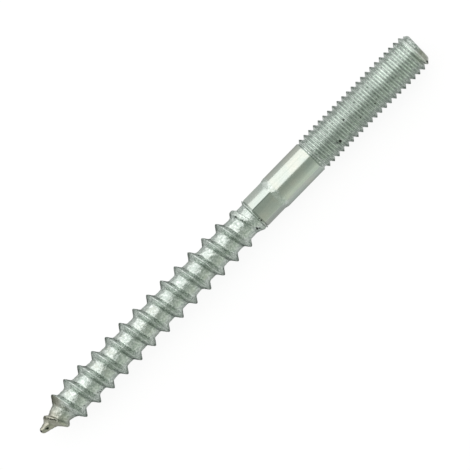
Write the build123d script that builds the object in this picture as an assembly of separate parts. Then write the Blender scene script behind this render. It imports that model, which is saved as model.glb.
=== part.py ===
from build123d import *
from math import ceil, cos, pi, radians, sin, tan
import os

# Hanger bolt, M8 x 100: a wood thread, a pressed hexagon, a plain shank and a machine thread.
# It is one piece of cold-formed steel wire. Both threads are right-handed and rolled on, so their
# crests stand outside the blank and their roots lie inside it. The bolt lies on its side: its axis
# runs along +X from the gimlet point to the machine end, and the wood thread's crests touch z = 0.
# All sizes are in millimetres.

os.makedirs("parts", exist_ok=True)

# Lengths along the bolt, in order from the tip.
wood_end_length = 56.0         # tip to the foot of the hexagon's shoulder
shoulder_length = 0.6          # bevel from the thread's neck up to the hexagon
hexagon_length = 4.7           # full-depth flats
hexagon_runout = 1.15          # ramp where the pressed flats climb out to the shank
shank_length = 8.95            # plain stretch
machine_end_length = 28.6      # start of the machine thread to the end face

# Blank and hexagon.
shank_d = 7.0
hexagon_flats = 5.9            # across flats, for a 6 mm spanner
corner_relief = 0.11           # the pressed corners stay this far inside the blank's surface
hexagon_turn = 16.0            # first flat, in degrees about the axis from +Z

# Wood thread.
wood_thread_d = 8.0
wood_root_d = 5.4
wood_pitch = 3.65
wood_tip_flank = 39.0          # flank that faces the tip, in degrees from a plane across the axis
wood_head_flank = 37.0         # flank that faces the machine end
wood_crest_offset = 2.59       # tip to the first place where the crest line crosses the +Y side
runout_length = 5.0            # before the shoulder, where the crest starts to fall
runout_drop = 0.42             # fall of the crest's radius before it sinks faster
sink_length = 2.1              # before the shoulder, where the crest starts to sink faster

# Gimlet point.
tip_d = 0.9
tip_round = 0.3
point_length = 7.1             # core and crests both reach full size here
point_crest_slope = 0.47       # growth of the crest's radius per millimetre
point_start = 1.2              # tip to where the thread rises out of the cone
point_fade = 1.0               # length over which it rises

# Machine thread.
machine_thread_d = 7.76        # over the sharp crests
machine_root_d = 6.47
machine_pitch = 1.25
machine_flank = 36.0           # both flanks, in degrees from a plane across the axis
machine_crest_offset = 0.65    # start of the thread to where its crest line crosses the +Y side
machine_step = 0.3             # bevel from the shank down to the root
lead_length = 1.4              # where the crests fall towards the end land

# Machine end.
end_land_d = 6.6
end_land_length = 1.15
end_round = 0.5

# How the ridges are built.
points_per_turn = 42
piece_limit = 1.0              # a ridge is fused to the core in pieces of this many turns at most
ridge_sink = 0.2               # a ridge reaches this far below the root to bond with the core
rise = 0.06                    # a ridge starts or ends this far above or below what it meets
foot_share = 0.985             # the machine ridge's foot takes up this much of the pitch at most

# Stations along the axis.
shoulder_x = wood_end_length
flats_x = shoulder_x + shoulder_length
runout_x = flats_x + hexagon_length
shank_x = runout_x + hexagon_runout
machine_x = shank_x + shank_length
bolt_length = machine_x + machine_end_length
land_x = bolt_length - end_land_length

# Radii.
shank_r = shank_d / 2
corner_r = shank_r - corner_relief
wood_root_r = wood_root_d / 2
wood_crest_r = wood_thread_d / 2
machine_root_r = machine_root_d / 2
machine_crest_r = machine_thread_d / 2
end_land_r = end_land_d / 2
widest_r = max(wood_crest_r, machine_crest_r, shank_r)


def between(x, first, last):
    """Value at x on the straight line through two (station, value) pairs."""
    share = (x - first[0]) / (last[0] - first[0])
    return first[1] + (last[1] - first[1]) * share


def along(x, line):
    """Value at x on a broken line of (station, value) pairs."""
    for first, last in zip(line, line[1:]):
        if x <= last[0]:
            break
    return between(x, first, last)


def core():
    """The blank without its threads: cone, neck, hexagon corners, shank and machine root."""
    with BuildPart() as blank:
        with BuildSketch(Plane.XY):
            with BuildLine():
                Polyline(
                    (0, 0),
                    (0, tip_d / 2),
                    (point_length, wood_root_r),
                    (shoulder_x, wood_root_r),
                    (flats_x, corner_r),
                    (runout_x, corner_r),
                    (shank_x, shank_r),
                    (machine_x, shank_r),
                    (machine_x + machine_step, machine_root_r),
                    (land_x - machine_step, machine_root_r),
                    (land_x, end_land_r),
                    (bolt_length, end_land_r),
                    (bolt_length, 0),
                    close=True,
                )
            profile = make_face()
            rims = profile.vertices().filter_by(lambda corner: corner.Y > 0)
            fillet(rims.sort_by(Axis.X)[0], tip_round)
            fillet(rims.sort_by(Axis.X)[-1], end_round)
        revolve(axis=Axis.X)
    return blank.part.solid()


def ridge_piece(first_x, last_x, crossing_x, pitch, section_at):
    """One solid of ridge, up to a turn long, between ruled helical faces and two flat ends."""
    steps = max(4, round((last_x - first_x) / pitch * points_per_turn))
    rows = []
    for step in range(steps + 1):
        x = between(step, (0, first_x), (steps, last_x))
        turn = 2 * pi * (x - crossing_x) / pitch
        rows.append([Vector(at, r * cos(turn), r * sin(turn)) for at, r in section_at(x)])
    edges = [Edge.make_spline(list(line)) for line in zip(*rows)]
    sides = [Face.make_surface_from_curves(edge, edges[k - 1]) for k, edge in enumerate(edges)]
    ends = [Face(Wire.make_polygon(row, close=True)) for row in (rows[0], rows[-1])]
    return Solid(Shell(sides + ends))


def ridge(crest_line, crossing_x, pitch, section_at):
    """Ridge along the whole crest line, in pieces of a turn or less between its stations."""
    pieces = []
    for (start, _), (end, _) in zip(crest_line, crest_line[1:]):
        count = ceil((end - start) / (pitch * piece_limit))
        for index in range(count):
            first_x = between(index, (0, start), (count, end))
            last_x = between(index + 1, (0, start), (count, end))
            pieces.append(ridge_piece(first_x, last_x, crossing_x, pitch, section_at))
    return pieces


def section(x, crest, foot, tip_flank, head_flank):
    """Corners of a ridge in a plane through the axis, as (station, radius) pairs."""
    drop = crest - foot
    tip_foot = x - drop * tan(radians(tip_flank))
    head_foot = x + drop * tan(radians(head_flank))
    return [(tip_foot, foot), (x, crest), (head_foot, foot)]


def wood_root_at(x):
    """Radius of the core under the wood thread."""
    return along(x, [(0, tip_d / 2), (point_length, wood_root_r), (bolt_length, wood_root_r)])


def wood_crest_line():
    """The wood thread's crest: up out of the point, level, then down into the shoulder."""
    fade_end = point_start + point_fade
    full_r = wood_crest_r - point_crest_slope * (point_length - fade_end)
    bevel_x = shoulder_x + shoulder_length / 2
    bevel_r = (wood_root_r + corner_r) / 2
    return [
        (point_start, wood_root_at(point_start) + rise),
        (fade_end, full_r),
        (point_length, wood_crest_r),
        (shoulder_x - runout_length, wood_crest_r),
        (shoulder_x - sink_length, wood_crest_r - runout_drop),
        (bevel_x, bevel_r - rise),
    ]


def wood_thread():
    """Coarse sharp ridge from the gimlet point to the hexagon's shoulder."""
    crest_line = wood_crest_line()

    def section_at(x):
        foot = wood_root_at(x) - ridge_sink
        return section(x, along(x, crest_line), foot, wood_tip_flank, wood_head_flank)

    return ridge(crest_line, wood_crest_offset, wood_pitch, section_at)


def machine_thread():
    """Fine ridge: quick to rise from the shank, level, then down to the end land."""
    crest_line = [
        (machine_x, shank_r - rise),
        (machine_x + machine_pitch / 2, machine_crest_r),
        (land_x - lead_length, machine_crest_r),
        (land_x, end_land_r + rise),
    ]

    deepest = foot_share * machine_pitch / 2 / tan(radians(machine_flank))
    foot = max(machine_root_r - ridge_sink, machine_crest_r - deepest)

    def section_at(x):
        return section(x, along(x, crest_line), foot, machine_flank, machine_flank)

    return ridge(crest_line, machine_x + machine_crest_offset, machine_pitch, section_at)


def hexagon_press():
    """The six die faces that press the flats: level along the hexagon, ramped at the shank."""
    flat_r = hexagon_flats / 2
    clear_r = wood_crest_r + machine_crest_r
    outline = Polyline(
        (shoulder_x, 0, flat_r),
        (runout_x, 0, flat_r),
        (shank_x, 0, shank_r),
        (shank_x, 0, clear_r),
        (shoulder_x, 0, clear_r),
        close=True,
    )
    die = extrude(make_face(outline), amount=shank_d, both=True)
    return [Rot(X=hexagon_turn + 60 * face) * die for face in range(6)]


def hanger_bolt():
    """The whole bolt, resting on its widest part, centred over the origin."""
    threaded = core().fuse(*wood_thread(), *machine_thread())
    pressed = threaded.cut(*hexagon_press())
    bolt = Pos(-bolt_length / 2, 0, widest_r) * pressed
    bolt.label = "hanger_bolt"
    return bolt


bolt = hanger_bolt()
export_step(bolt, "parts/hanger_bolt.step")
print("bolt length", round(bolt_length, 3), "volume", round(bolt.volume, 1))
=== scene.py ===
import math

import bmesh
import bpy
import numpy as np
from mathutils import Matrix, Vector, noise


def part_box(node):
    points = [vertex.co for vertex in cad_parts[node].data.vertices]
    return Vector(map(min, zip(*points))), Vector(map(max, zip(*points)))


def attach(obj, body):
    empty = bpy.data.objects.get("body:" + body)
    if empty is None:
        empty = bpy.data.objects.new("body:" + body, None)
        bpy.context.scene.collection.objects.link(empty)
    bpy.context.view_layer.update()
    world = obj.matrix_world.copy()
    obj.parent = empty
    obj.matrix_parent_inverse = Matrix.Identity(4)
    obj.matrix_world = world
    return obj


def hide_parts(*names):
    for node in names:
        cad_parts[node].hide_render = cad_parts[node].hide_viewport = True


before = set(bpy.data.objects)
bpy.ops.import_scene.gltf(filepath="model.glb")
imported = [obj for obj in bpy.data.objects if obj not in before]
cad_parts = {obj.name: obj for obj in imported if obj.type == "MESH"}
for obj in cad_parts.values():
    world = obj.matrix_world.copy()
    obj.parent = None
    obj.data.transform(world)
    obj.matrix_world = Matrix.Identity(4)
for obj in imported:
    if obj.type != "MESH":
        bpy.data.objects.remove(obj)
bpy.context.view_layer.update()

# === The blank ===
# The bolt starts as a length of drawn steel wire. It keeps the wire's surface along the shank, and
# is necked down for the wood thread, whose end is drawn out to a gimlet point.
MM = 0.001      # sizes are in millimetres, and places along the bolt are from the tip
bolt_low, bolt_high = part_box("hanger_bolt")
bolt_length = (bolt_high.x - bolt_low.x) / MM
axis_height = (bolt_high.z - bolt_low.z) / 2 / MM

neck_r = 2.71
neck_swell = 0.15
swell_start = 54.2
swell_length = 0.8
shank_r = 3.5
shoulder_start = 56.0
point_x = [0, 1.0, 1.6, 3.1, 4.4, 5.4, 6.4, 7.2]
point_r = [0.52, 0.79, 0.9, 1.28, 1.92, 2.14, 2.46, 2.9]
point_blend = 0.2
nose_length = 0.45
tip_bend = 0.17
tip_bend_length = 3.0


def soft_max(first, second, blend):
    """The larger of two radii, with the corner between them filled by about half of blend."""
    return (first + second + np.sqrt((first - second) ** 2 + blend**2)) / 2


def soft_min(first, second, blend):
    """The smaller of two radii, with the corner between them rounded off."""
    return -soft_max(-first, -second, blend)


def ramp(value, start, end):
    """0 before start, 1 after end, and a smooth rise between them."""
    share = np.clip((value - start) / (end - start), 0, 1)
    return share * share * (3 - 2 * share)


def neck(x):
    """Cone of the point, running into the neck that the wood thread is rolled on."""
    cone = np.interp(x, point_x, point_r) + np.maximum(x - point_x[-1], 0)
    swollen = neck_r + neck_swell * ramp(x, swell_start, swell_start + swell_length)
    radius = soft_min(cone, swollen, point_blend)
    into_nose = np.clip(1 - x / nose_length, 0, 1)
    return radius * np.sqrt(1 - into_nose**2)


# === The wood thread ===
# A coarse right-handed ridge rolled up out of the neck. Both of its flanks run out in hollow toes.
# It grows out of the gimlet point, and sinks away before the hexagon.
wood_crest_inset = 0.03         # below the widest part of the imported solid
wood_crest_r = axis_height - wood_crest_inset
wood_pitch = 3.65
wood_crossing = 2.59            # where the crest line first crosses the +Y side
wood_crest_round = 0.14
wood_tip_flank = 33.6           # faces the tip, in degrees from square to the axis
wood_head_flank = 30.5          # faces the machine end
wood_tip_toe = 0.22
wood_head_toe = 0.38
wood_start = 1.85
wood_fade = 0.45
wood_full = 7.1
wood_growth = 0.47              # of the crest's radius for each millimetre along the point
wood_wear = 0.07
wood_wear_length = 9.0
runout_x = [51.0, 53.9, 55.2, 56.3]
runout_drop = [0.0, 0.42, 0.85, 1.3]

# The first full crest and the last one are blunt, and the first stands proud and a little forward.
first_crest_x = 4.4
first_crest_spread = 0.7
first_crest_shift = 0.5
first_crest_rise = 0.1
first_crest_flat = 0.12
last_crest_flat = 0.23
last_crest_x = [52.0, 53.9]


def bell(value, middle, spread):
    """1 at the middle, falling away smoothly on both sides."""
    return np.exp(-(((value - middle) / spread) ** 2))


def from_crest(x, turn, pitch, crossing):
    """Distance along the axis from the nearest crest of a thread, negative towards the tip."""
    turns = (x - crossing) / pitch - turn
    return (turns - np.round(turns)) * pitch


def past_round(distance, crest_round):
    """Distance down from a crest, eased over its rounded top."""
    return np.sqrt(distance**2 + crest_round**2) - crest_round


def wood_crest(x):
    """Radius of the wood thread's crest: it grows on the point and sinks in the run-out."""
    growing = wood_crest_r - wood_growth * (wood_full - x)
    worn = wood_crest_r - wood_wear * ramp(x, wood_full, wood_wear_length + wood_full)
    sinking = worn - np.interp(x, runout_x, runout_drop)
    crest = np.minimum(np.minimum(wood_crest_r, growing), sinking)
    return crest * ramp(x, wood_start - wood_fade, wood_start + wood_fade)


def wood_thread(x, turn, core):
    """The neck with the wood thread on it."""
    shift = first_crest_shift * np.clip(1 - x / first_crest_x, 0, 1)
    away = from_crest(x + shift, turn, wood_pitch, wood_crossing)
    crest_x = x - away
    near_first = bell(crest_x, first_crest_x, first_crest_spread)
    crest = wood_crest(crest_x) + first_crest_rise * near_first
    flat = last_crest_flat * ramp(crest_x, *last_crest_x) + first_crest_flat * near_first
    flank = np.where(away < 0, wood_tip_flank, wood_head_flank)
    down = past_round(np.maximum(np.abs(away) - flat, 0), wood_crest_round)
    ridge = crest - down / np.tan(np.radians(flank))
    return soft_max(core, ridge, np.where(away < 0, wood_tip_toe, wood_head_toe))


# === The hexagon ===
# Six flats pressed into the wire for a spanner. They start at a bevelled shoulder with a thin
# raised lip, and climb out to the round shank over the last millimetre.
flat_count = 6
flat_angle = 360 / flat_count
flat_middle_r = 3.08
flat_crown_r = 10.9
hexagon_turn = 14.5             # a corner, in degrees about the axis from the +Y side
hexagon_corner_r = 3.42
corner_round = 0.02
shoulder_length = 0.42
flats_end = 61.3
ramp_length = 1.15
ramp_overrun = 0.05
lip_height = 0.24
lip_middle = 0.02
lip_half = 0.14
groove_depth = 0.115
groove_middle = 0.24            # from the middle of the lip
groove_half = 0.09

# Lump on the -Y side, where the last of the wood thread is pressed into the shoulder.
burr_x = 55.75
burr_turn = 0.5
burr_r = 3.28
burr_slope = 0.62
burr_fall = 1.6
burr_width = 0.11


def plateau(value, middle, half):
    """1 over a stretch to each side of the middle, with steep ends."""
    return np.exp(-(((value - middle) / half) ** 4))


def hexagon(x, turn):
    """The pressed length, from the shoulder to the shank."""
    out = np.clip((x - flats_end) / ramp_length, 0, 1)
    middle_r = flat_middle_r + (shank_r + ramp_overrun - flat_middle_r) * out
    # The middle of a flat stands as far past the top as a corner stands past the +Y side.
    angle = np.degrees(2 * np.pi * turn) - 90 - hexagon_turn
    from_middle = np.radians((angle + flat_angle / 2) % flat_angle - flat_angle / 2)
    behind = flat_crown_r - middle_r
    across = np.sqrt(flat_crown_r**2 - (behind * np.sin(from_middle)) ** 2)
    pressed = across - behind * np.cos(from_middle)
    widening = ramp(x, flats_end, flats_end + ramp_length)
    corner = hexagon_corner_r + (shank_r - hexagon_corner_r) * widening
    from_edge = x - shoulder_start - shoulder_length
    lip = lip_height * plateau(from_edge, lip_middle, lip_half)
    groove = groove_depth * bell(from_edge - lip_middle, groove_middle, groove_half)
    return soft_min(pressed, corner, corner_round) + lip - groove


def burr(x, turn):
    """Radius of the lump: highest at the shoulder, and falling off around the bolt."""
    towards_tip = burr_slope * np.maximum(burr_x - x, 0)
    return burr_r - towards_tip - burr_fall * ((turn - burr_turn) / burr_width) ** 2


# === The machine thread ===
# A fine thread rolled on to the end of the wire, with slightly worn crests that stand above the
# shank. The wire is cut off not quite square behind it, and its end turned down to a short cone.
machine_start = 71.2
machine_lead = 0.3              # the thread begins this far before its start
machine_rise = 0.7              # and rises to full height over this share of a pitch
machine_root_r = 3.14
machine_crest_r = 3.84
machine_wear = 0.08
machine_wear_fade = 4.0
machine_wear_end = 91.0
machine_pitch = 1.25
machine_crossing = 72.05
machine_flank = 39.0
machine_crest_round = 0.07
machine_root_round = 0.07
machine_bevel = 0.35
bevel_blend = 0.02
last_turn = 97.7
last_crest_drop = 0.13
last_crest_fade = 0.8
last_root_drop = 0.08
last_root_fade = 0.5
cone_start = 99.1
cone_start_r = 3.4
cone_slope = 0.72
cone_blend = 0.06
rim_length = 0.25
rim_drop = 0.3
end_tilt = 2.2
end_tilt_start = 98.9


def machine_crest(x):
    """Radius of the machine thread's crest, worn everywhere but near the end."""
    worn = 1 - ramp(x, machine_wear_end - machine_wear_fade, machine_wear_end)
    return machine_crest_r - machine_wear * worn


def machine_thread(x, turn, core):
    """The machine end: the fine thread on its root, from the shank to the cone."""
    away = from_crest(x, turn, machine_pitch, machine_crossing)
    crest_x = x - away
    crest = machine_crest(x)
    crest = crest - last_crest_drop * ramp(crest_x, last_turn, last_turn + last_crest_fade)
    root = machine_root_r - last_root_drop * ramp(x, last_turn, last_turn + last_root_fade)
    from_start = (crest_x - machine_start + machine_lead) / (machine_pitch * machine_rise)
    crest = machine_root_r + (crest - machine_root_r) * np.clip(from_start, 0, 1)
    down = past_round(away, machine_crest_round)
    ridge = crest - down / math.tan(math.radians(machine_flank))
    threaded = soft_max(root, ridge, machine_root_round)
    bevel = shank_r - (x - machine_start) * (shank_r - machine_root_r) / machine_bevel
    body = soft_max(np.minimum(core, bevel), threaded, bevel_blend)
    cone = cone_start_r - cone_slope * (x - cone_start)
    return np.where(x < machine_start - machine_lead, core, soft_min(body, cone, cone_blend))


def rim(x, radius):
    """Rounds the end's rim."""
    into_rim = np.clip((x - bolt_length + rim_length) / rim_length, 0, 1)
    return radius - rim_drop * (1 - np.sqrt(1 - into_rim**2))


# === The bolt's surface ===
# The whole bolt is one piece of steel, so it has one closed skin. The skin's rows run square across
# the plain lengths and wind with the threads elsewhere, so that every crest lies along a row.
beside_corner = 0.8             # the columns next to a corner stand this many degrees off it
columns_on_flat = 16
quarter_circle = range(0, 91, 10)   # in degrees, for the rows of the nose and the rim
wood_rows_start = 1.0
wood_rows_end = 55.7
flat_rows_start = 57.7
shank_rows_start = 62.8
machine_rows_start = machine_start
row_gap = 0.1                   # between one kind of rows and the next
ramp_overlap = 0.2              # the ramp's close rows go on this far up the shank
shoulder_step = 0.06
flat_step = 0.25
ramp_step = 0.07
shank_step = 0.28

# Rows from one crest to the next, in shares of the pitch.
wood_shares = [
    0, 0.014, 0.03, 0.055, 0.09, 0.13, 0.17, 0.21, 0.25, 0.28, 0.31, 0.345, 0.385, 0.43, 0.475,
    0.52, 0.565, 0.605, 0.645, 0.685, 0.72, 0.755, 0.79, 0.83, 0.87, 0.91, 0.945, 0.97, 0.986,
]
machine_shares = [
    0, 0.045, 0.09, 0.17, 0.25, 0.33, 0.4, 0.47, 0.53, 0.6, 0.67, 0.75, 0.83, 0.91, 0.955,
]

# Rings of the end face, in shares of its radius.
end_face_shares = [1.0, 0.9, 0.75, 0.55, 0.3, 0.0]

# Fillings where one form meets the next.
shoulder_blend = 0.05
hexagon_lead = 0.5              # the press starts this far before the shoulder
hexagon_blend = 0.04
burr_blend = 0.1

corners = hexagon_turn + flat_angle * np.arange(flat_count)
on_flat = np.linspace(beside_corner, flat_angle - beside_corner, columns_on_flat)
between_corners = [corner + beside for corner in corners for beside in on_flat]
turn = np.sort(np.concatenate([corners, np.array(between_corners) % 360])) / 360
columns = len(turn)


def rings(stations):
    """Rows square to the axis."""
    return np.repeat(np.array(stations, float)[:, None], columns, axis=1), 0


def spiral(start, end, pitch, crossing, row_shares):
    """Rows that wind with a thread, and end on the rings at start and end."""
    first = math.floor((start - crossing) / pitch) - 2
    last = math.ceil((end - crossing) / pitch) + 1
    base = [crossing + pitch * (k + share) for k in range(first, last + 1) for share in row_shares]
    return np.clip(np.array(base)[:, None] + pitch * turn, start, end), len(row_shares)


def weave(count, step, first_index):
    """Faces between rows. Past the last column a row goes on as the one a step above it."""
    row, column = np.meshgrid(np.arange(count - 1), np.arange(columns), indexing="ij")

    def corner(at_row, at_column):
        at_row = np.minimum(at_row + step * (at_column == columns), count - 1)
        return first_index + at_row * columns + at_column % columns

    around = [(0, 0), (0, 1), (1, 1), (1, 0)]
    face_corners = [corner(row + down, column + along) for down, along in around]
    return np.stack(face_corners, axis=-1).reshape(-1, 4)


def radius_at(x, turns):
    """The clean form of the bolt, without dents."""
    bevel = neck_r + (x - shoulder_start) * (hexagon_corner_r - neck_r) / shoulder_length
    core = soft_max(neck(x), np.minimum(bevel, shank_r), shoulder_blend)
    pressed = soft_min(core, hexagon(x, turns), hexagon_blend)
    core = np.where(x > shoulder_start - hexagon_lead, pressed, core)
    wood_end = soft_max(wood_thread(x, turns, core), burr(x, turns), burr_blend)
    radius = np.where(x < shoulder_start + shoulder_length / 2, wood_end, core)
    return rim(x, machine_thread(x, turns, radius))


nose_rows = [nose_length * (1 - math.cos(math.radians(angle))) for angle in quarter_circle]
point_rows = [0.55, 0.7, 0.85, wood_rows_start]
shoulder_rows = np.arange(wood_rows_end, flat_rows_start - row_gap, shoulder_step)
flat_rows = np.arange(flat_rows_start, flats_end - row_gap, flat_step)
ramp_rows_end = flats_end + ramp_length + ramp_overlap
ramp_rows = np.arange(flats_end - row_gap, ramp_rows_end, ramp_step)
shank_rows = np.arange(shank_rows_start, machine_rows_start - row_gap, shank_step)
rim_start = bolt_length - rim_length
rim_rows = [rim_start + rim_length * math.sin(math.radians(angle)) for angle in quarter_circle]
zones = [
    rings(nose_rows + point_rows),
    spiral(wood_rows_start, wood_rows_end, wood_pitch, wood_crossing, wood_shares),
    rings([*shoulder_rows, *flat_rows, *ramp_rows, *shank_rows, machine_rows_start]),
    spiral(machine_rows_start, rim_start, machine_pitch, machine_crossing, machine_shares),
    rings(rim_rows),
]

faces = []
count = 0
for rows, step in zones:
    faces.append(weave(len(rows), step, count))
    count += rows.size
x = np.concatenate([rows for rows, step in zones])
turns = np.broadcast_to(turn, x.shape)
radius = radius_at(x, turns)
end_face = np.full((len(end_face_shares), columns), bolt_length)
faces.append(weave(len(end_face), 0, count))
x = np.concatenate([x, end_face])
turns = np.broadcast_to(turn, x.shape)
radius = np.concatenate([radius, radius[-1] * np.array(end_face_shares)[:, None]])

# Forming leaves the steel uneven: most in the wood thread's roots and on the point, less on the
# machine thread, and hardly at all where the wire was only drawn.
dent_size = 0.6
small_dent_size = dent_size / 2.6
dent_seed = 11.0
small_dent_seed = 37.0
dent_depth = 0.06
small_dent_share = 0.55
dent_sink = 0.4
crest_dents = 0.15
root_dents_start = 0.35         # below the wood thread's crests
root_dents_span = 0.7
root_dents_end = [55.2, 56.4]
machine_dents = 0.22
machine_dents_x = [71.2, 72.0]
point_dents = 0.9
point_dents_x = 4.4
point_dents_spread = 0.9
wire_dents = 0.05
axis_free = [0.1, 0.6]          # radii between which dents start, so that the tip stays closed


def unevenness(x, y, z, size, seed):
    """Smooth random values in three dimensions, about -1 to 1, with features of this size."""
    points = np.stack([x, y, z], axis=-1).reshape(-1, 3) / size + seed
    return np.array([noise.noise(Vector(point)) for point in points]).reshape(x.shape)


y = radius * np.cos(2 * np.pi * turns)
z = radius * np.sin(2 * np.pi * turns)
dents = unevenness(x, y, z, dent_size, dent_seed)
small_dents = unevenness(x, y, z, small_dent_size, small_dent_seed)
below_crests = (wood_crest_r - root_dents_start - radius) / root_dents_span
in_roots = np.clip(below_crests, crest_dents, 1) * (1 - ramp(x, *root_dents_end))
on_machine = ramp(x, *machine_dents_x) * machine_dents
on_point = point_dents * bell(x, point_dents_x, point_dents_spread)
depth = dent_depth * (in_roots + on_machine + on_point + wire_dents) * ramp(radius, *axis_free)
radius = radius + depth * (dents + small_dent_share * small_dents) - dent_sink * depth

# Deep flecks where the coating has burnt or missed, all on the upper side: place along the bolt,
# place across it, size and depth.
flecks = [
    # on the point
    (0.12, 0.08, 0.25, 0.0),
    (1.35, -0.33, 0.32, 0.16),
    (1.05, -0.15, 0.16, 0.08),
    (2.75, 0.95, 0.16, 0.06),
    (2.95, 0.6, 0.17, 0.08),
    (3.15, 0.28, 0.18, 0.08),
    (3.38, -0.02, 0.2, 0.1),
    (3.55, -0.35, 0.18, 0.1),
    (3.75, -0.75, 0.15, 0.08),
    # in the wood thread's roots, on the -Y side
    (9.1, -2.2, 0.16, 0.06),
    (12.6, -2.35, 0.13, 0.05),
    (13.05, -2.5, 0.14, 0.05),
    (13.5, -2.38, 0.12, 0.05),
    (13.95, -2.48, 0.13, 0.05),
    # about the run-out and the shoulder
    (53.72, 2.2, 0.2, 0.06),
    (54.05, 0.75, 0.17, 0.06),
    (54.9, -2.3, 0.26, 0.15),
    (55.3, -2.55, 0.18, 0.1),
    (56.5, -1.7, 0.2, 0.12),
    (56.45, -1.1, 0.14, 0.08),
    # on the machine thread and its end
    (77.24, -1.95, 0.37, 0.22),
    (80.5, 0.43, 0.2, 0.12),
    (82.97, -1.56, 0.16, 0.05),
    (84.1, 1.29, 0.14, 0.04),
    (86.7, -1.66, 0.18, 0.06),
    (87.8, 1.47, 0.14, 0.04),
    (99.05, -3.15, 0.24, 0.04),
]
flecked = np.zeros_like(x)
for fleck_x, fleck_y, size, fleck_depth in flecks:
    near = np.exp(-((x - fleck_x) ** 2 + (y - fleck_y) ** 2) / size**2) * (z > 0)
    radius = radius - fleck_depth * near
    flecked = np.maximum(flecked, near)

# The last turn of the wood thread tore as it was rolled: a broken seam crosses its upper side.
seam_x = 54.25                  # where it crosses the top
seam_lean = 0.017               # along the bolt for each degree around it
seam_width = 0.2
seam_ends = [58, 75]            # in degrees from the top
seam_depth = 0.1
tear_size = 0.36
tear_seed = 71.0
tear_edge = [-0.2, 0.18]

from_top = (turns - 0.25) * 360
on_seam = bell(x, seam_x + seam_lean * from_top, seam_width)
on_seam = on_seam * (1 - ramp(np.abs(from_top), *seam_ends))
torn = on_seam * ramp(unevenness(x, y, z, tear_size, tear_seed), *tear_edge)
radius = radius - seam_depth * torn

# The finished skin's points, with the tip bent towards +Y and the end cut off at a slant.
y = radius * np.cos(2 * np.pi * turns) + tip_bend * np.clip(1 - x / tip_bend_length, 0, 1) ** 2
z = radius * np.sin(2 * np.pi * turns)
slant = math.tan(math.radians(end_tilt)) * ramp(x, end_tilt_start, bolt_length)
x = x - slant * (cone_start_r - y)
points = np.stack([x * MM + bolt_low.x, y * MM, (z + axis_height) * MM], axis=-1).reshape(-1, 3)

# How the steel was worked shows through the coating, and some light and shade is painted on it as
# well. From here on each finish is a share from 0 to 1 at every point. Two limits say where it
# leaves 0 and reaches 1, and two more where it leaves 1 and is back at 0. They are places along the
# bolt, radii, or leans: the rise of the surface for each millimetre along.
plain_wire = [55.9, 57.0, 71.0, 71.8]
scuffed_ramp_x = 0.6            # from the end of the flats
scuffed_ramp_half = 0.7
scuffing = 0.85
threads = [3.0, 6.0, 99.0, 99.6]
threads_apart = 60.0            # on the flats, clear of both threads
closest_rows = 0.004            # rows that meet count as this far apart
flank_lean = [0.25, 0.9]
toe_lean = [0.02, 0.25, 0.6, 1.2]
rising_lean = [0.4, 0.9]
falling_on_wood = 0.88          # flanks that fall towards the machine end, against rising ones
falling_on_machine = 0.64
wood_crest_band = [3.5, 3.85]
wood_crest_shade = 0.66
machine_crest_band = [-0.25, -0.09]     # from the full crest
machine_root_x = [71.0, 71.3]
machine_root_band = [3.2, 3.42]


def within(value, start, full, fade, end):
    """0 outside start and end, and 1 between full and fade."""
    return ramp(value, start, full) * (1 - ramp(value, fade, end))


polish = within(x, *plain_wire)
polish = polish * (1 - scuffing * plateau(x - flats_end, scuffed_ramp_x, scuffed_ramp_half))
lean = np.gradient(radius, axis=0) / np.maximum(np.abs(np.gradient(x, axis=0)), closest_rows)
rolled = within(x, *threads) * (1 - polish)
on_wood = x < threads_apart
falling = np.where(on_wood, falling_on_wood, falling_on_machine)
# Painted highlight: the flank shares paint the flanks lighter, less on those that fall towards the
# machine end.
flank = ramp(np.abs(lean), *flank_lean) * rolled * np.where(lean > 0, 1, falling)
lit_fine_flank = flank * (x > threads_apart)
# Painted shade in the roots of the machine thread.
fine_root_shade = ramp(x, *machine_root_x) * (1 - ramp(radius, *machine_root_band))
# Painted shade on the crests of both threads.
crest_shade = np.where(
    on_wood,
    wood_crest_shade * ramp(radius, *wood_crest_band),
    ramp(radius - machine_crest(x), *machine_crest_band),
)
before_shoulder = x < shoulder_start
# Painted shade in the hollow toes, where the wood thread's flanks meet its roots.
toe_shade = within(lean, *toe_lean) * before_shoulder
# Painted shade on the wood thread's flanks that rise towards the machine end.
rising_flank_shade = ramp(lean, *rising_lean) * rolled * before_shoulder

# Darker marks: soot on the +Y side of the first tooth, and painted shade beside one corner of the
# hexagon, on the +Y side of the first full turn, in the last root of the machine thread and along
# the end face's edge.
corner_line = 1.2               # in degrees past the corner nearest the top
corner_line_width = 1.6
corner_line_x = [56.6, 56.9, 61.0, 61.8]
tooth_x = 2.4
tooth_spread = 0.5
tooth_height = [0.1, 0.4]
tooth_side = [15, 50]           # in degrees from the top, towards +Y
first_turn_lean = [0.1, 0.5]
first_turn_side = [5, 40]
first_turn_x = [4.9, 5.6, 6.6, 8.0]
last_root_x = 99.08
last_root_width = 0.1
end_edge_x = [99.6, 99.85]
end_edge_band = [2.6, 2.9]

# Painted shade: a dark, partly black line just past the hexagon's corner nearest the top.
top_corner = corners[1]
corner_shade = bell(turns * 360 - top_corner, corner_line, corner_line_width)
corner_shade = corner_shade * within(x, *corner_line_x)
above_neck = ramp(radius - neck(x), *tooth_height)
first_tooth = bell(x, tooth_x, tooth_spread) * above_neck * ramp(-from_top, *tooth_side)
# Painted shade, tinted brown, on the rising flank of the first full turn, on its +Y side.
first_turn_shade = ramp(lean, *first_turn_lean) * ramp(-from_top, *first_turn_side) * within(x, *first_turn_x)
# Painted shade: a dark, partly black line in the last root of the machine thread.
last_root_shade = bell(x, last_root_x, last_root_width)
# Painted shade: a dark, partly black line along the rim of the end face.
end_edge_shade = ramp(x, *end_edge_x) * ramp(radius, *end_edge_band)
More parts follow.
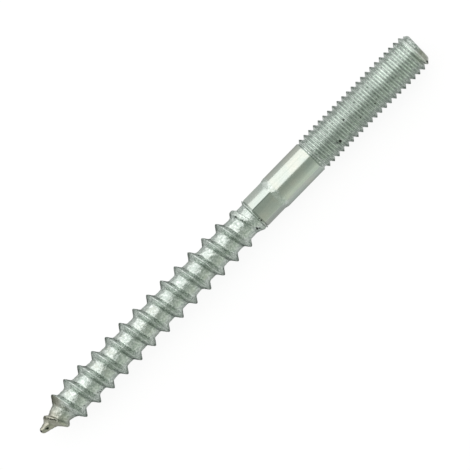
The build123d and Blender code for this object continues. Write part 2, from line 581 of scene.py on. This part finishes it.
# The flecks, the tears and the first tooth are soot and stains. The seam's grey band, the crests,
# the machine thread's roots, the toes, the rising flanks, and the corner, turn, root and edge lines
# are painted shade.
marks = [
    # where it is, how far it goes to the dark grey, how far it goes to black
    (flecked, 0, 1),
    (torn, 0, 0.5),
    # painted shade: a grey band along the whole seam, on the tip side of the last ridge; its torn
    # places are sooty
    (on_seam, 0.85, 0),
    (crest_shade * rolled, 1, 0),
    (fine_root_shade, 0.85, 0),
    (toe_shade, 0.6, 0),
    (rising_flank_shade, 0.3, 0),
    (corner_shade, 0.9, 0.42),
    (first_tooth, 0.95, 0.5),
    (first_turn_shade, 0.8, 0.36),
    (last_root_shade, 0.95, 0.38),
    (end_edge_shade, 0.8, 0.42),
]
stain_and_shade = np.maximum.reduce([greyness * mark for mark, greyness, blackness in marks])
soot_and_shade = np.maximum.reduce([blackness * mark for mark, greyness, blackness in marks])

# Brown tarnish on the point and on the lower side of the end, and a brown tint over the painted
# shade of the first full turn.
tarnished_point = [2.8, 7.2]
tarnished_end = [97.6, 99.3]
tarnished_side = [-5, 25]       # in degrees from the top, towards -Y
first_turn_brown = 0.8
end_tarnish = 0.65

at_end = ramp(x, *tarnished_end) * ramp(from_top, *tarnished_side)
tarnish = np.maximum(1 - ramp(x, *tarnished_point), first_turn_brown * first_turn_shade)
tarnish = np.maximum(tarnish, end_tarnish * at_end)

weld_distance = 0.0008
shortest_edge = 0.0005
finishes = {
    "polish": polish,
    "soot_and_shade": soot_and_shade,
    "tarnish": tarnish,
    "flank": flank,
    "stain_and_shade": stain_and_shade,
    "fine_root_shade": fine_root_shade,
    "lit_fine_flank": lit_fine_flank,
}

mesh = bpy.data.meshes.new("hanger_bolt_skin")
mesh.from_pydata(points.tolist(), [], np.concatenate(faces).tolist())
for name, shares in finishes.items():
    attribute = mesh.attributes.new(name, "FLOAT", "POINT")
    attribute.data.foreach_set("value", shares.reshape(-1).astype(np.float32))
skin = bmesh.new()
skin.from_mesh(mesh)
bmesh.ops.remove_doubles(skin, verts=skin.verts, dist=weld_distance * MM)
bmesh.ops.dissolve_degenerate(skin, edges=skin.edges, dist=shortest_edge * MM)
skin.to_mesh(mesh)
skin.free()
mesh.polygons.foreach_set("use_smooth", [True] * len(mesh.polygons))
bolt = bpy.data.objects.new("bolt_skin", mesh)
bpy.context.scene.collection.objects.link(bolt)

# === The zinc coating ===
# Electroplated zinc over steel: a bright, faintly green grey, smooth on the shank where the wire's
# drawn surface shows through, and mottled and duller where the threads were rolled.
# Its lighter flanks are a painted highlight, and its darker crests, roots, toes, rising flanks and
# lines are painted shade.
cool_grey = (0.365, 0.41, 0.375)
warm_grey = (0.405, 0.425, 0.375)
deep_grey = (0.28, 0.335, 0.30)
bright_grey = (0.48, 0.52, 0.49)
# The dark grey and the black serve soot and stains, and also painted shade.
stain_and_shade_grey = (0.17, 0.20, 0.18)
# Painted highlight: lighter copies of the coating for the flanks of both threads.
lit_flank_grey = (0.80, 0.87, 0.81)
lit_fine_flank_grey = (0.86, 0.935, 0.875)
brown_grey = (0.28, 0.27, 0.21)
soot_and_shade_black = (0.01, 0.012, 0.01)

# How much of the coating's colour is left in reflections at a low angle.
low_angle_zinc = (0.55, 0.55, 0.55)
low_angle_stain_and_shade = (0.1, 0.1, 0.1)
# The flanks with their painted highlight keep little of the coating's colour at a low angle.
low_angle_lit_flank = (0.0, 0.0, 0.0)
low_angle_lit_fine_flank = (0.2, 0.2, 0.2)
# The painted shade in the machine thread's roots keeps the coating's full colour at a low angle.
low_angle_root_shade = (1.0, 1.0, 1.0)

zinc = bpy.data.materials.new("zinc_coating")
zinc.use_nodes = True
tree = zinc.node_tree
shader = tree.nodes["Principled BSDF"]
coordinates = tree.nodes.new("ShaderNodeTexCoord")


def feed(socket, source):
    """Feeds a socket from another node, or sets it to a number or a colour."""
    if isinstance(source, bpy.types.NodeSocket):
        tree.links.new(source, socket)
    else:
        socket.default_value = source


def finish(name):
    """One of the shares kept on the skin."""
    reader = tree.nodes.new("ShaderNodeAttribute")
    reader.attribute_name = name
    return reader.outputs["Fac"]


def cloud(features, detail, stretch=(1, 1, 1)):
    """Random clouds over the bolt, with this many features a metre."""
    mapping = tree.nodes.new("ShaderNodeMapping")
    mapping.inputs["Scale"].default_value = stretch
    tree.links.new(coordinates.outputs["Object"], mapping.inputs["Vector"])
    texture = tree.nodes.new("ShaderNodeTexNoise")
    texture.inputs["Scale"].default_value = features
    texture.inputs["Detail"].default_value = detail
    tree.links.new(mapping.outputs["Vector"], texture.inputs["Vector"])
    return texture.outputs["Fac"]


def spread(value, low, high, to_low, to_high):
    """Maps a range of one value to a range of another."""
    mapped = tree.nodes.new("ShaderNodeMapRange")
    feed(mapped.inputs["Value"], value)
    feed(mapped.inputs["From Min"], low)
    feed(mapped.inputs["From Max"], high)
    feed(mapped.inputs["To Min"], to_low)
    feed(mapped.inputs["To Max"], to_high)
    return mapped.outputs["Result"]


def blend(share, at_none, at_full):
    """Goes from one value to another as a share rises from 0 to 1."""
    return spread(share, 0, 1, at_none, at_full)


def patches(features, detail, thin, dense, most=1):
    """Random patches: none where the clouds are thin, and the most where they are dense."""
    return spread(cloud(features, detail), thin, dense, 0, most)


def product(first, second):
    """One share of another, such as spots that show on one finish only."""
    both = tree.nodes.new("ShaderNodeMath")
    both.operation = "MULTIPLY"
    feed(both.inputs[0], first)
    feed(both.inputs[1], second)
    return both.outputs[0]


def coat(under, over, share):
    """Lays one colour over another."""
    mixed = tree.nodes.new("ShaderNodeMix")
    mixed.data_type = "RGBA"
    feed(mixed.inputs["Factor"], share)
    for socket, colour in ((mixed.inputs[6], under), (mixed.inputs[7], over)):
        feed(socket, (*colour, 1) if isinstance(colour, tuple) else colour)
    return mixed.outputs[2]


def roughen(height, depth, strength):
    """Unevenness of the coating that is too fine for the mesh."""
    bump = tree.nodes.new("ShaderNodeBump")
    bump.inputs["Distance"].default_value = depth * MM
    feed(bump.inputs["Strength"], strength)
    feed(bump.inputs["Height"], height)
    return bump


polished, sooted_and_shaded, tarnished = finish("polish"), finish("soot_and_shade"), finish("tarnish")
# The flank shares carry the painted highlight on the flanks.
flanks, lit_fine_flanks = finish("flank"), finish("lit_fine_flank")
stained_and_shaded, fine_root_shades = finish("stain_and_shade"), finish("fine_root_shade")


def by_finish(on_threads, on_wire, on_fine_flanks):
    """A value of its own for the threads, the drawn wire, and the machine thread's flanks."""
    return blend(lit_fine_flanks, blend(polished, on_threads, on_wire), on_fine_flanks)


mottling = by_finish(on_threads=1, on_wire=0.12, on_fine_flanks=0.45)
warm_patches = patches(260, 3, 0.4, 0.62)
dull_patches = product(patches(520, 2, 0.45, 0.68, most=0.45), lit_fine_flanks)
light_spots = product(patches(2100, 3, 0.44, 0.6), mottling)
dark_spots = product(patches(3600, 3, 0.5, 0.66), mottling)

# The wire was drawn through a die, which leaves fine lines along it.
drawn_lines = cloud(2400, 3, (0.04, 1, 1))
streaks = product(spread(drawn_lines, 0.45, 0.62, 0, 0.28), polished)

tint = coat(cool_grey, warm_grey, warm_patches)
tint = coat(tint, deep_grey, blend(polished, 0.35, 0))
# Painted highlight on the flanks.
tint = coat(tint, lit_flank_grey, flanks)
tint = coat(tint, lit_fine_flank_grey, lit_fine_flanks)
tint = coat(tint, cool_grey, dull_patches)
# Stains, and painted shade on crests, roots, toes, rising flanks and lines.
tint = coat(tint, stain_and_shade_grey, stained_and_shaded)
tint = coat(tint, bright_grey, light_spots)
tint = coat(tint, deep_grey, dark_spots)
tint = coat(tint, deep_grey, streaks)
tint = coat(tint, brown_grey, blend(tarnished, 0, 0.75))
tint = coat(tint, soot_and_shade_black, spread(sooted_and_shaded, 0.3, 0.7, 0, 0.95))
feed(shader.inputs["Base Color"], tint)

low_angle = coat(low_angle_zinc, low_angle_stain_and_shade, blend(stained_and_shaded, 0, 0.7))
low_angle = coat(low_angle, low_angle_lit_flank, flanks)
low_angle = coat(low_angle, low_angle_lit_fine_flank, lit_fine_flanks)
low_angle = coat(low_angle, low_angle_root_shade, fine_root_shades)
feed(shader.inputs["Specular Tint"], low_angle)
feed(shader.inputs["Metallic"], blend(lit_fine_flanks, 1, 0.85))

rough_threads = spread(cloud(900, 4), 0.35, 0.7, 0.26, 0.46)
rough_wire = spread(drawn_lines, 0.35, 0.7, 0.12, 0.21)
rough = by_finish(on_threads=rough_threads, on_wire=rough_wire, on_fine_flanks=0.3)
feed(shader.inputs["Roughness"], rough)

pit_strength = by_finish(on_threads=0.7, on_wire=0.06, on_fine_flanks=0.4)
lump_strength = by_finish(on_threads=0.5, on_wire=0.03, on_fine_flanks=0.3)
pits = roughen(cloud(2600, 5), depth=0.06, strength=pit_strength)
lumps = roughen(cloud(1100, 2), depth=0.08, strength=lump_strength)
feed(lumps.inputs["Normal"], pits.outputs["Normal"])
feed(shader.inputs["Normal"], lumps.outputs["Normal"])

mesh.materials.append(zinc)
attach(bolt, "root")
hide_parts("hanger_bolt")

# === The table ===
# A plain white board that the bolt lies on. It keeps a soft shadow, and adds enough of its own
# white to the camera and to reflections to read as a white background.
board_size = 3.0
board_gap = 0.02                # below the bolt, so that the two surfaces never meet
board_grey = (0.09, 0.09, 0.09, 1)
board_roughness = 0.9
board_own_white = 0.9

board_mesh = bpy.data.meshes.new("table_top")
half = board_size / 2
board_corners = [(-half, -half, 0), (half, -half, 0), (half, half, 0), (-half, half, 0)]
board_mesh.from_pydata(board_corners, [], [(0, 1, 2, 3)])
board = bpy.data.objects.new("table", board_mesh)
board.location.z = bolt_low.z - board_gap * MM
bpy.context.scene.collection.objects.link(board)

board_white = bpy.data.materials.new("board_white")
board_white.use_nodes = True
board_tree = board_white.node_tree
board_shader = board_tree.nodes["Principled BSDF"]
board_shader.inputs["Base Color"].default_value = board_grey
board_shader.inputs["Roughness"].default_value = board_roughness
board_shader.inputs["Specular IOR Level"].default_value = 0.0
board_shader.inputs["Emission Color"].default_value = (1, 1, 1, 1)
paths = board_tree.nodes.new("ShaderNodeLightPath")


def board_value(operation, first, second):
    """Works one value out from two in the board's material."""
    worked = board_tree.nodes.new("ShaderNodeMath")
    worked.operation = operation
    board_tree.links.new(first, worked.inputs[0])
    if isinstance(second, bpy.types.NodeSocket):
        board_tree.links.new(second, worked.inputs[1])
    else:
        worked.inputs[1].default_value = second
    return worked.outputs[0]


in_reflections = board_value(
    "MAXIMUM", paths.outputs["Is Glossy Ray"], paths.outputs["Is Transmission Ray"]
)
where_seen = board_value("MAXIMUM", paths.outputs["Is Camera Ray"], in_reflections)
glow = board_value("MULTIPLY", where_seen, board_own_white)
board_tree.links.new(glow, board_shader.inputs["Emission Strength"])
board_mesh.materials.append(board_white)

# === The light ===
# One long flat softbox leans over the bolt on its +Y side, from low over the table to just off
# overhead. The rest of the room is a plain dome, which is dim on the softbox's side and overhead,
# and brighter towards the horizon on the -Y side.
softbox_near = math.radians(8)          # its two long edges, from straight overhead
softbox_far = math.radians(89.4)
softbox_distance = 0.6
softbox_length = 2.0
softbox_power = 8.4
softbox_white = (1.0, 0.94, 0.99)
dome_dim = (0.60, 0.65, 0.59, 1)
dome_middle = (0.79, 0.83, 0.755, 1)
dome_bright = (1.19, 1.25, 1.13, 1)
dome_dim_until = 0.35           # where 0 is overhead and 1 is the horizon on the -Y side
dome_middle_at = 0.64
dome_bright_at = 1.0

upper_edge = Vector((0, math.sin(softbox_near), math.cos(softbox_near))) * softbox_distance
lower_edge = Vector((0, math.sin(softbox_far), math.cos(softbox_far))) * softbox_distance
softbox_data = bpy.data.lights.new("softbox", "AREA")
softbox_data.shape = "RECTANGLE"
softbox_data.size = softbox_length
softbox_data.size_y = (upper_edge - lower_edge).length
softbox_data.energy = softbox_power
softbox_data.color = softbox_white
softbox = bpy.data.objects.new("softbox", softbox_data)
softbox.location = (upper_edge + lower_edge) / 2
upwards = (upper_edge - lower_edge).normalized()
lengthways = upwards.cross(softbox.location.normalized()).normalized()
backwards = lengthways.cross(upwards)
softbox.rotation_mode = "QUATERNION"
turned = Matrix((lengthways, upwards, backwards)).transposed()
softbox.rotation_quaternion = turned.to_quaternion()
softbox.visible_camera = False
bpy.context.scene.collection.objects.link(softbox)

room = bpy.data.worlds.new("room")
bpy.context.scene.world = room
room.use_nodes = True
room_tree = room.node_tree
room_tree.nodes.clear()
direction = room_tree.nodes.new("ShaderNodeTexCoord")
split = room_tree.nodes.new("ShaderNodeSeparateXYZ")
away_from_softbox = room_tree.nodes.new("ShaderNodeMath")
away_from_softbox.operation = "MULTIPLY"
away_from_softbox.inputs[1].default_value = -1.0
dome = room_tree.nodes.new("ShaderNodeValToRGB")
dome.color_ramp.elements[0].position = dome_dim_until
dome.color_ramp.elements[0].color = dome_dim
dome.color_ramp.elements[1].position = dome_bright_at
dome.color_ramp.elements[1].color = dome_bright
dome.color_ramp.elements.new(dome_middle_at).color = dome_middle
background = room_tree.nodes.new("ShaderNodeBackground")
output = room_tree.nodes.new("ShaderNodeOutputWorld")
room_tree.links.new(direction.outputs["Generated"], split.inputs[0])
room_tree.links.new(split.outputs["Y"], away_from_softbox.inputs[0])
room_tree.links.new(away_from_softbox.outputs[0], dome.inputs["Fac"])
room_tree.links.new(dome.outputs["Color"], background.inputs["Color"])
room_tree.links.new(background.outputs[0], output.inputs["Surface"])

# === The camera ===
# It looks straight down, turned so that the bolt runs from the lower left to the upper right.
camera_turn = math.radians(45.7)
camera_height = 0.4
camera_x = 1.2
camera_y = -0.08
view_width = 0.08697

camera_data = bpy.data.cameras.new("camera")
camera_data.type = "ORTHO"
camera_data.ortho_scale = view_width
camera = bpy.data.objects.new("camera", camera_data)
camera.location = (camera_x * MM, camera_y * MM, camera_height)
camera.rotation_euler = (0, 0, -camera_turn)
bpy.context.scene.collection.objects.link(camera)
bpy.context.scene.camera = camera
bpy.context.scene.view_settings.view_transform = "Standard"
